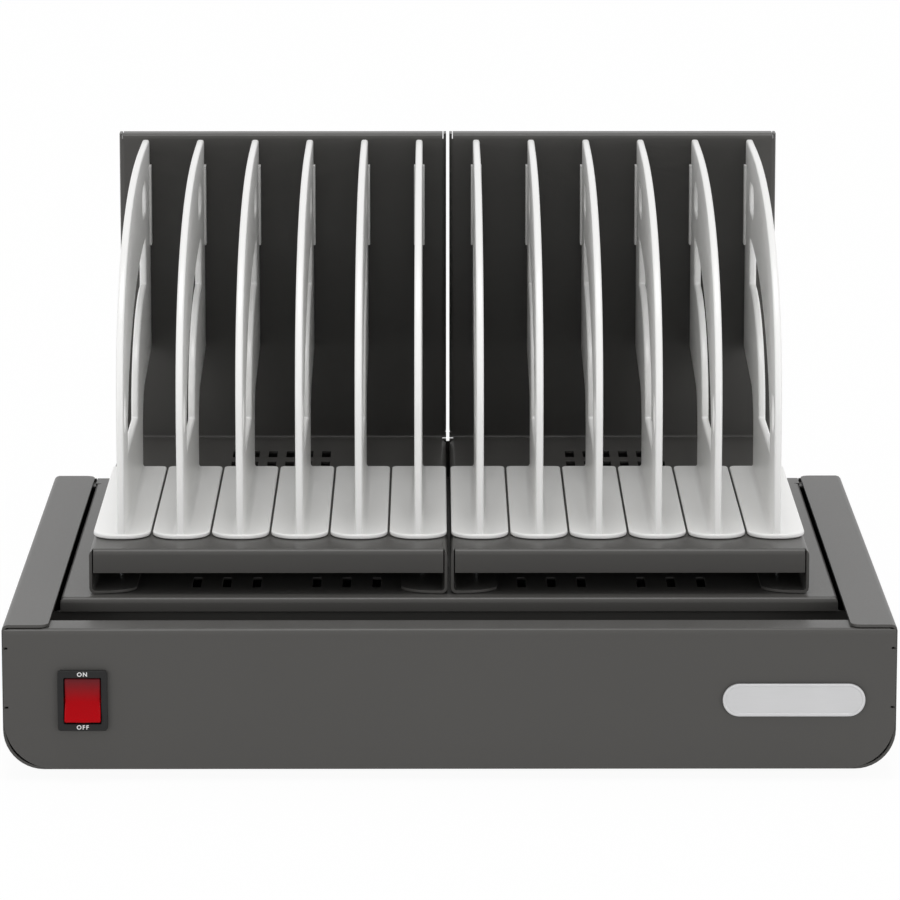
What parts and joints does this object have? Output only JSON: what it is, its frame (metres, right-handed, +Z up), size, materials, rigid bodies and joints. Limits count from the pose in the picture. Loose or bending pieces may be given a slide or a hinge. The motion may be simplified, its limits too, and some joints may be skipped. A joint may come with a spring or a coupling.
{
  "type": "charging tray",
  "caption": "Open desktop charging tray: folded steel base with a rocker switch, a hinged deck, and steel racks of white plastic dividers that hold tablets upright over built-in USB hubs.",
  "frame": {"origin": "middle of the tray's footprint, on the surface that its rubber feet stand on", "axes": "+X to the right along the width, +Y to the rear, +Z up; the front panel faces -Y"},
  "size_m": [0.45, 0.4028, 0.2761],
  "materials": {
    "painted_steel": "fine textured grey powder coat, satin",
    "white_plastic": "smooth moulded, glossy",
    "black_plastic": "fine spark texture, satin",
    "red_plastic": "polished, slightly translucent",
    "badge_grey": "satin silver grey",
    "black_rubber": "matt",
    "plain_steel": "zinc plated",
    "supply_case": "plain mill finish",
    "brass": "bright",
    "brown_lead": "smooth insulation",
    "blue_lead": "smooth insulation",
    "black_lead": "smooth insulation"
  },
  "bodies": {
    "base": {"base_shell": "painted_steel", "front_panel": "painted_steel", "rear_panel": "painted_steel", "deck_rail": "painted_steel", "switch_housing": "black_plastic", "badge_plate": "badge_grey", "mains_inlet": "black_plastic", "power_supply": "supply_case", "line_lead": "brown_lead", "switched_lead": "black_lead", "neutral_lead": "blue_lead", "rubber_foot_1": "black_rubber", "rubber_foot_2": "black_rubber", "rubber_foot_3": "black_rubber", "rubber_foot_4": "black_rubber", "switch_terminal_1": "brass", "switch_terminal_2": "brass", "inlet_blade_1": "plain_steel", "inlet_blade_2": "plain_steel", "inlet_blade_3": "plain_steel", "inlet_screw_1": "plain_steel", "inlet_screw_2": "plain_steel", "hinge_fixed_leaf_left": "plain_steel", "hinge_fixed_leaf_right": "plain_steel", "hinge_pin_left": "plain_steel", "hinge_pin_right": "plain_steel", "usb_hub_left": "black_plastic", "usb_hub_right": "black_plastic", "hub_lead_left": "black_lead", "hub_lead_right": "black_lead"},
    "rocker": {"switch_rocker": "red_plastic"},
    "deck": {"deck_plate": "painted_steel", "rack_screw_1": "plain_steel", "rack_screw_2": "plain_steel", "rack_screw_3": "plain_steel", "rack_screw_4": "plain_steel", "rack_screw_5": "plain_steel", "rack_screw_6": "plain_steel", "rack_screw_7": "plain_steel", "rack_screw_8": "plain_steel", "hinge_moving_leaf_left": "plain_steel", "hinge_moving_leaf_right": "plain_steel", "rack_left": "painted_steel", "rack_right": "painted_steel", "divider_01": "white_plastic", "divider_02": "white_plastic", "divider_03": "white_plastic", "divider_04": "white_plastic", "divider_05": "white_plastic", "divider_06": "white_plastic", "divider_07": "white_plastic", "divider_08": "white_plastic", "divider_09": "white_plastic", "divider_10": "white_plastic", "divider_11": "white_plastic", "divider_12": "white_plastic"}
  },
  "joints": [
    {"name": "switch_rock", "type": "hinge", "parent": "base", "child": "rocker", "pos_m": [-0.1845, -0.19605, 0.0414], "axis": [1, 0, 0], "range_deg": [0, 16]},
    {"name": "deck_hinge", "type": "hinge", "parent": "base", "child": "deck", "pos_m": [0, 0.19175, 0.07615], "axis": [-1, 0, 0], "range_deg": [0, 65]}
  ]
}
